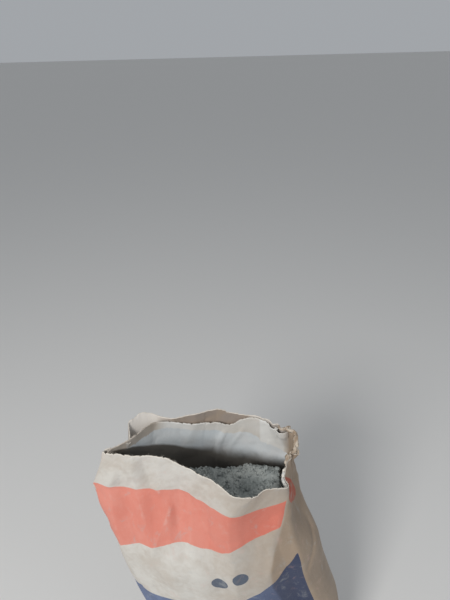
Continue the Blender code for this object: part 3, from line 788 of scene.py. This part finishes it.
def addNode(tree, kind, inputs=None, **settings):
    # a new node with its settings, its constants and what is linked to its inputs
    made = tree.nodes.new(kind)
    for key, value in settings.items():
        setattr(made, key, value)
    for key, value in (inputs or {}).items():
        if isinstance(value, bpy.types.NodeSocket):
            tree.links.new(value, made.inputs[key])
        else:
            made.inputs[key].default_value = value
    return made


def geometryTree(name, inputs):
    tree = bpy.data.node_groups.new(name, "GeometryNodeTree")
    tree.interface.new_socket("Geometry", in_out="INPUT", socket_type="NodeSocketGeometry")
    for label, kind in inputs:
        tree.interface.new_socket(label, in_out="INPUT", socket_type="NodeSocket" + kind)
    tree.interface.new_socket("Geometry", in_out="OUTPUT", socket_type="NodeSocketGeometry")
    return tree, tree.nodes.new("NodeGroupInput").outputs


def treeEnd(tree, geometry, material):
    # real meshes with their material, which the export needs
    made = addNode(tree, "GeometryNodeSetMaterial", {"Geometry": geometry, "Material": material})
    addNode(tree, "NodeGroupOutput", {"Geometry": made.outputs[0]})
    return tree


def grownMesh(name, base, tree, values):
    # runs a node tree on a base object and keeps its result as a plain mesh
    modifier = base.modifiers.new(tree.name, "NODES")
    modifier.node_group = tree
    for item in tree.interface.items_tree:
        if item.in_out == "INPUT" and item.name in values:
            modifier[item.identifier] = values[item.name]
    graph = bpy.context.evaluated_depsgraph_get()
    mesh = bpy.data.meshes.new_from_object(base.evaluated_get(graph), depsgraph=graph)
    base.modifiers.remove(modifier)
    mesh.name = name
    return linked(name, mesh)


def maths(tree, operation, first, second, kind="Math"):
    return addNode(tree, "ShaderNode" + kind, {0: first, 1: second}, operation=operation).outputs[0]


def times(tree, first, second):
    return maths(tree, "MULTIPLY", first, second)


def plus(tree, first, second):
    return maths(tree, "ADD", first, second)


def randomVector(tree, low, high, seed):
    made = addNode(tree, "FunctionNodeRandomValue", {0: low, 1: high, "Seed": seed}, data_type="FLOAT_VECTOR")
    return made.outputs[0]


def lumpTree():
    # crumbs and clods strewn over the heap's top
    tree, given = geometryTree("powderLumps", (("Crumbs", "Float"), ("Crumb Size", "Float"), ("Clods", "Float"),
                                               ("Clod Size", "Float"), ("Material", "Material")))
    onTop = addNode(tree, "GeometryNodeInputNamedAttribute", {"Name": "top"}, data_type="FLOAT").outputs[0]
    joined = addNode(tree, "GeometryNodeJoinGeometry")
    for detail, amount, size in ((1, "Crumbs", "Crumb Size"), (2, "Clods", "Clod Size")):
        seed = powder["seed"] + detail - 1
        places = addNode(tree, "GeometryNodeDistributePointsOnFaces",
                         {"Mesh": given["Geometry"], "Density": times(tree, given[amount], onTop), "Seed": seed})
        lump = addNode(tree, "GeometryNodeMeshIcoSphere", {"Radius": 1.0, "Subdivisions": detail})
        shape = randomVector(tree, powder["smallest"], powder["largest"], seed + 10)
        sizes = addNode(tree, "ShaderNodeVectorMath", {0: shape, "Scale": given[size]}, operation="SCALE")
        copies = addNode(tree, "GeometryNodeInstanceOnPoints",
                         {"Points": places.outputs["Points"], "Instance": lump.outputs["Mesh"],
                          "Rotation": randomVector(tree, (0.0, 0.0, 0.0), (6.28, 6.28, 6.28), seed + 20),
                          "Scale": sizes.outputs[0]})
        tree.links.new(copies.outputs[0], joined.inputs[0])
    real = addNode(tree, "GeometryNodeRealizeInstances", {"Geometry": joined.outputs[0]})
    uneven = addNode(tree, "ShaderNodeTexNoise", {"Scale": powder["unevenScale"], "Detail": 1.0}, noise_dimensions="3D")
    centred = maths(tree, "SUBTRACT", uneven.outputs["Color"], (0.5, 0.5, 0.5), "VectorMath")
    offset = maths(tree, "MULTIPLY", centred, (powder["uneven"],) * 3, "VectorMath")
    moved = addNode(tree, "GeometryNodeSetPosition", {"Geometry": real.outputs[0], "Offset": offset})
    return treeEnd(tree, moved.outputs[0], given["Material"])


lipFibres = {"Spacing": 0.0022, "Length": 0.0034, "Width": 0.00028, "seed": 8, "lean": 1.25,
             "smallest": (0.5, 0.5, 0.25), "largest": (1.3, 1.3, 1.4)}


def fibreTree():
    # short paper fibres standing out along the torn lips
    tree, given = geometryTree("tornFibres", (("Spacing", "Float"), ("Length", "Float"), ("Width", "Float"),
                                              ("Material", "Material")))
    line = addNode(tree, "GeometryNodeMeshToCurve", {"Mesh": given["Geometry"]})
    steps = addNode(tree, "GeometryNodeResampleCurve", {"Curve": line.outputs[0], "Length": given["Spacing"]},
                    mode="LENGTH")
    fibre = addNode(tree, "GeometryNodeMeshCone",
                    {"Vertices": 3, "Radius Bottom": given["Width"], "Depth": given["Length"]})
    lean, seed = lipFibres["lean"], lipFibres["seed"]
    copies = addNode(tree, "GeometryNodeInstanceOnPoints",
                     {"Points": steps.outputs[0], "Instance": fibre.outputs["Mesh"],
                      "Rotation": randomVector(tree, (-lean, -lean, 0.0), (lean, lean, 6.28), seed),
                      "Scale": randomVector(tree, lipFibres["smallest"], lipFibres["largest"], seed + 1)})
    real = addNode(tree, "GeometryNodeRealizeInstances", {"Geometry": copies.outputs[0]})
    return treeEnd(tree, real.outputs[0], given["Material"])


def lipLines(name, rings):
    # the torn lips as closed lines, one after the other
    points, edges = [], []
    for ring in rings:
        start = len(points)
        points += [tuple(point + np.array(sack["stand"])) for point in ring]
        edges += [(start + index, start + (index + 1) % len(ring)) for index in range(len(ring))]
    mesh = bpy.data.meshes.new(name)
    mesh.from_pydata(points, edges, [])
    return linked(name, mesh)


def newMaterial(name):
    material = bpy.data.materials.new(name)
    material.use_nodes = True
    return material, material.node_tree, material.node_tree.nodes["Principled BSDF"]


def attribute(tree, name):
    return addNode(tree, "ShaderNodeAttribute", attribute_name=name).outputs["Fac"]


def ramp(tree, value, low, high, toLow=0.0, toHigh=1.0):
    return addNode(tree, "ShaderNodeMapRange",
                   {"Value": value, "From Min": low, "From Max": high, "To Min": toLow, "To Max": toHigh},
                   clamp=True, interpolation_type="SMOOTHSTEP").outputs[0]


def noise(tree, vector, scale, detail, roughness, distortion=0.0):
    return addNode(tree, "ShaderNodeTexNoise", {"Vector": vector, "Scale": scale, "Detail": detail,
                                                "Roughness": roughness, "Distortion": distortion}).outputs["Fac"]


def mixed(tree, share, first, second):
    return addNode(tree, "ShaderNodeMix", {0: share, 6: first, 7: second}, data_type="RGBA").outputs[2]


def bump(tree, shader, height, strength, distance, before=None):
    made = addNode(tree, "ShaderNodeBump", {"Strength": strength, "Distance": distance, "Height": height})
    if before is not None:
        tree.links.new(before, made.inputs["Normal"])
    tree.links.new(made.outputs[0], shader.inputs["Normal"])
    return made.outputs[0]


def finished(tree, shader, colour, roughness, specular, sheen=0.0):
    tree.links.new(colour, shader.inputs["Base Color"])
    if isinstance(roughness, bpy.types.NodeSocket):
        tree.links.new(roughness, shader.inputs["Roughness"])
    else:
        shader.inputs["Roughness"].default_value = roughness
    shader.inputs["Specular IOR Level"].default_value = specular
    shader.inputs["Sheen Weight"].default_value = sheen


def linear(red, green, blue):
    # a colour as a paint program gives it, 0 to 255, as Blender's own colour
    shares = [value / 255.0 for value in (red, green, blue)]
    return (*[share / 12.92 if share <= 0.04045 else ((share + 0.055) / 1.055) ** 2.4 for share in shares], 1.0)


colours = {
    "kraft": linear(154, 134, 113), "kraftDark": linear(136, 116, 96), "cream": linear(210, 206, 200),
    "lining": linear(142, 130, 123), "dust": linear(209, 207, 201), "raw": linear(200, 189, 174),
    "white": linear(226, 225, 221), "edge": linear(222, 215, 204),
    "band": linear(198, 98, 78), "bandFaded": linear(226, 162, 148), "disc": linear(172, 84, 62),
    "blue": linear(29, 43, 75), "blueFaded": linear(118, 134, 168),
    "spots": linear(72, 84, 102), "spotsFaded": linear(112, 120, 130),
    "redSmudge": linear(206, 168, 158), "greySmudge": linear(170, 172, 170),
    "powderDust": linear(206, 213, 217), "powderThin": linear(214, 216, 216), "paintedShadeColour": linear(84, 77, 67),
    "cementDark": linear(140, 145, 143), "cementLight": linear(172, 175, 171), "cementHollowShade": linear(104, 109, 108),
    "cementGrain": linear(182, 184, 178), "cementShade": linear(70, 68, 62), "floor": (0.72, 0.71, 0.69, 1.0),
}


def paperSurface(tree, shader):
    # fibre grain and fine crinkles, that all the papers share
    sheetMap = addNode(tree, "ShaderNodeUVMap", uv_map="sheet").outputs[0]
    fibreMap = addNode(tree, "ShaderNodeMapping", {"Vector": sheetMap, "Scale": (1.0, 0.16, 1.0)}).outputs[0]
    uprightMap = addNode(tree, "ShaderNodeMapping", {"Vector": sheetMap, "Scale": (1.0, 0.35, 1.0)}).outputs[0]
    fibres = noise(tree, fibreMap, 2100.0, 3.0, 0.7)
    crinkle = noise(tree, uprightMap, 130.0, 2.0, 0.45, 0.8)
    soft = noise(tree, sheetMap, 95.0, 3.0, 0.5, 0.6)
    rough = noise(tree, sheetMap, 14.0, 3.0, 0.5, 0.3)
    crinkled = bump(tree, shader, plus(tree, times(tree, crinkle, 0.7), soft), 0.35, 0.0012)
    bump(tree, shader, fibres, 0.12, 0.0002, crinkled)
    return sheetMap, fibres, soft, rough


def raggedEdge(tree, sheetMap, scale, detail, roughness, amount):
    # moves the edges of colours about, by up to half this many metres each way
    return times(tree, maths(tree, "SUBTRACT", noise(tree, sheetMap, scale, detail, roughness), 0.5), amount)


def outerPaper(name):
    # kraft paper with its dust, whose thin stretch on the right side also paints that side's shade, then the printed
    # fields, smudges and speckles, then its inside and torn edge
    material, tree, shader = newMaterial(name)
    sheetMap, fibres, soft, rough = paperSurface(tree, shader)
    ragged = raggedEdge(tree, sheetMap, 320.0, 3.0, 0.7, 0.0012)
    patches = ramp(tree, plus(tree, times(tree, rough, 0.7), times(tree, soft, 0.3)), 0.34, 0.62, 0.66, 1.0)
    dustAndShadeShare = times(tree, attribute(tree, "dust"), patches)
    kraft = mixed(tree, ramp(tree, rough, 0.3, 0.75), colours["kraft"], colours["kraftDark"])
    colour = mixed(tree, dustAndShadeShare, kraft, colours["dust"])
    worn = times(tree, ramp(tree, attribute(tree, "crest"), 0.8, 2.4), ramp(tree, soft, 0.35, 0.65))
    for field, faded, hold in (("band", "bandFaded", 0.62), ("blue", "blueFaded", 0.85), ("disc", "bandFaded", 0.30),
                               ("spots", "spotsFaded", 0.40)):
        edge = ramp(tree, plus(tree, attribute(tree, field), ragged), -0.0003, 0.0003)
        if field == "disc":
            edge = times(tree, edge, ramp(tree, soft, 0.30, 0.52, 0.35, 1.0))
        ink = mixed(tree, times(tree, dustAndShadeShare, hold), colours[field], colours[faded])
        ink = mixed(tree, times(tree, worn, 0.30), ink, colours["cream"])
        colour = mixed(tree, edge, colour, ink)
    smudges = noise(tree, sheetMap, 38.0, 5.0, 0.65, 0.5)
    colour = mixed(tree, times(tree, ramp(tree, smudges, 0.56, 0.74), 0.26), colour, colours["redSmudge"])
    colour = mixed(tree, times(tree, ramp(tree, smudges, 0.44, 0.28), 0.34), colour, colours["greySmudge"])
    speckle = noise(tree, sheetMap, 620.0, 2.0, 0.8)
    colour = mixed(tree, times(tree, ramp(tree, speckle, 0.58, 0.76), 0.16), colour, colours["cream"])
    lining = mixed(tree, ramp(tree, rough, 0.3, 0.7), colours["lining"], colours["kraft"])
    lining = mixed(tree, attribute(tree, "paleInside"), lining, colours["cream"])
    colour = mixed(tree, attribute(tree, "inside"), colour, lining)
    rawEdge = ramp(tree, plus(tree, attribute(tree, "lip"), ragged), 0.0016, 0.0006)
    colour = mixed(tree, rawEdge, colour, colours["edge"])
    colour = mixed(tree, times(tree, fibres, 0.08), colour, colours["kraftDark"])
    finished(tree, shader, colour, ramp(tree, dustAndShadeShare, 0.0, 0.6, 0.62, 0.92), 0.35, 0.08)
    return material


def innerPaper(name):
    # pale paper with bare and white stretches, grey with powder below its lip, and painted shade low inside where the
    # front lip's shadow falls
    material, tree, shader = newMaterial(name)
    sheetMap, fibres, soft, rough = paperSurface(tree, shader)
    ragged = raggedEdge(tree, sheetMap, 140.0, 4.0, 0.65, 0.004)
    paper = mixed(tree, ramp(tree, rough, 0.3, 0.8), colours["cream"], colours["raw"])
    paper = mixed(tree, attribute(tree, "white"), paper, colours["white"])
    paper = mixed(tree, attribute(tree, "bare"), paper, colours["kraft"])
    powdered = mixed(tree, ramp(tree, rough, 0.35, 0.7), colours["powderDust"], colours["powderThin"])
    covered = ramp(tree, plus(tree, attribute(tree, "powder"), ragged), -0.0014, 0.0024)
    colour = mixed(tree, times(tree, covered, attribute(tree, "inside")), paper, powdered)
    # painted shadow of the front lip and deep shade, low on the inside of the wall
    paintedShadeMask = ramp(tree, plus(tree, attribute(tree, "dark"), times(tree, soft, 0.3)), -0.35, 0.95)
    paintedShadeMask = times(tree, paintedShadeMask, attribute(tree, "inside"))
    colour = mixed(tree, times(tree, paintedShadeMask, 0.92), colour, colours["paintedShadeColour"])
    colour = mixed(tree, times(tree, fibres, 0.06), colour, colours["kraftDark"])
    finished(tree, shader, colour, 0.85, 0.3, 0.08)
    return material


def cementPowder(name):
    material, tree, shader = newMaterial(name)
    place = addNode(tree, "ShaderNodeTexCoord").outputs["Object"]
    broad = noise(tree, place, 24.0, 4.0, 0.6)
    fine = noise(tree, place, 420.0, 4.0, 0.7)
    lumpy = noise(tree, place, 140.0, 4.0, 0.6)
    colour = mixed(tree, ramp(tree, broad, 0.35, 0.7), colours["cementDark"], colours["cementLight"])
    # painted shade for the hollows between lumps, placed by noise
    colour = mixed(tree, ramp(tree, lumpy, 0.54, 0.68), colour, colours["cementHollowShade"])
    colour = mixed(tree, times(tree, ramp(tree, fine, 0.55, 0.75), 0.5), colour, colours["cementGrain"])
    colour = mixed(tree, times(tree, attribute(tree, "shade"), 0.85), colour, colours["cementShade"])
    finished(tree, shader, colour, 0.96, 0.15)
    bump(tree, shader, fine, 0.5, 0.0006, bump(tree, shader, lumpy, 0.7, 0.0022))
    return material


def tornPaper(name, darker, lighter):
    # bare paper at the torn edges, with pale broken fibres
    material, tree, shader = newMaterial(name)
    place = addNode(tree, "ShaderNodeTexCoord").outputs["Object"]
    broad = noise(tree, place, 90.0, 4.0, 0.6)
    fine = noise(tree, place, 900.0, 3.0, 0.7)
    colour = mixed(tree, ramp(tree, broad, 0.36, 0.66), colours[darker], colours[lighter])
    colour = mixed(tree, times(tree, ramp(tree, fine, 0.5, 0.75), 0.4), colour, colours["cream"])
    finished(tree, shader, colour, 0.88, 0.25)
    bump(tree, shader, fine, 0.25, 0.0003, bump(tree, shader, broad, 0.4, 0.0012))
    return material


print("sack: materials")
outerPly.data.materials.append(outerPaper("printed_kraft_paper"))
innerPly.data.materials.append(innerPaper("dusty_inner_paper"))
powderMaterial = cementPowder("grey_cement_powder")
cement.data.materials.append(powderMaterial)
crushedLip.data.materials.append(tornPaper("torn_kraft_edge", "kraft", "raw"))
whiteLip.data.materials.append(tornPaper("white_inner_lip", "edge", "white"))
bottomSheet.data.materials.append(innerPaper("pasted_bottom_paper"))

print("sack: lumps on the cement")
lumps = grownMesh("cement_lumps", cement, lumpTree(), {**powder, "Material": powderMaterial})

print("sack: torn fibres")
lipBase = lipLines("lip_lines", (outer[-1] - outerNormal[-1] * 0.5 * outerLook["thickness"],
                                 inner[-1] - 0.5 * (inner[-1] - innerBack[-1])))
fibres = grownMesh("torn_fibres", lipBase, fibreTree(),
                   {**lipFibres, "Material": tornPaper("pale_torn_fibres", "raw", "edge")})
bpy.data.objects.remove(lipBase)

for piece, cadNode, slotName in ((outerPly, "outer_ply", "outer_paper"), (innerPly, "inner_ply", "inner_paper"),
                                 (cement, "cement", "cement_powder"), (bottomSheet, "bottom_patch", "outer_paper")):
    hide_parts(cadNode)
    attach(piece, "root")
for piece, slotName in ((crushedLip, "outer_paper"), (whiteLip, "inner_paper"), (fibres, "outer_paper"),
                        (lumps, "cement_powder")):
    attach(piece, "root")

print("sack: camera, floor and light")
view = {"place": (-0.0044, -0.4886, 1.1936), "pitch": 30.0, "roll": 1.5, "lens": 36.08, "sensor": 36.0}
cameraData = bpy.data.cameras.new("camera")
cameraData.sensor_fit = "HORIZONTAL"
cameraData.sensor_width, cameraData.lens, cameraData.clip_start = view["sensor"], view["lens"], 0.01
camera = linked("camera", cameraData)
pitch, roll = math.radians(view["pitch"]), math.radians(view["roll"])
forward, right = Vector((0.0, math.cos(pitch), -math.sin(pitch))), Vector((1.0, 0.0, 0.0))
down = forward.cross(right)
imageRight = right * math.cos(roll) + down * math.sin(roll)
imageDown = -right * math.sin(roll) + down * math.cos(roll)
turned = Matrix((imageRight, -imageDown, -forward)).transposed()
camera.matrix_world = Matrix.Translation(view["place"]) @ turned.to_4x4()
bpy.context.scene.camera = camera

floorReach = 40.0
floorMaterial, floorTree, floorShader = newMaterial("pale_floor")
floorShader.inputs["Base Color"].default_value = colours["floor"]
floorShader.inputs["Roughness"].default_value = 0.9
floorMesh = bpy.data.meshes.new("floor")
floorMesh.from_pydata([(floorReach * x, floorReach * y, 0.0) for x, y in ((-1, -1), (1, -1), (1, 1), (-1, 1))],
                      [], [(0, 1, 2, 3)])
floorMesh.materials.append(floorMaterial)
linked("floor", floorMesh)

lights = {      # place, size, power and colour
    "key_light": ((-1.1, -1.75, 2.1), 0.8, 47.0, (1.0, 0.99, 0.975)),
    "fill_light": ((1.8, -0.6, 1.6), 1.8, 6.0, (0.96, 0.98, 1.0)),
}
lightsAim = Vector((0.0, 0.0, 0.4))
for name, (place, size, power, colour) in lights.items():
    data = bpy.data.lights.new(name, "AREA")
    data.size, data.energy, data.color = size, power, colour
    light = linked(name, data)
    light.location = place
    light.rotation_euler = (lightsAim - Vector(place)).to_track_quat("-Z", "Y").to_euler()
world = bpy.data.worlds.new("studio")
world.use_nodes = True
background = world.node_tree.nodes["Background"]
background.inputs[0].default_value = (0.86, 0.90, 0.95, 1.0)
background.inputs[1].default_value = 0.42
bpy.context.scene.world = world
bpy.context.scene.view_settings.view_transform = "Standard"
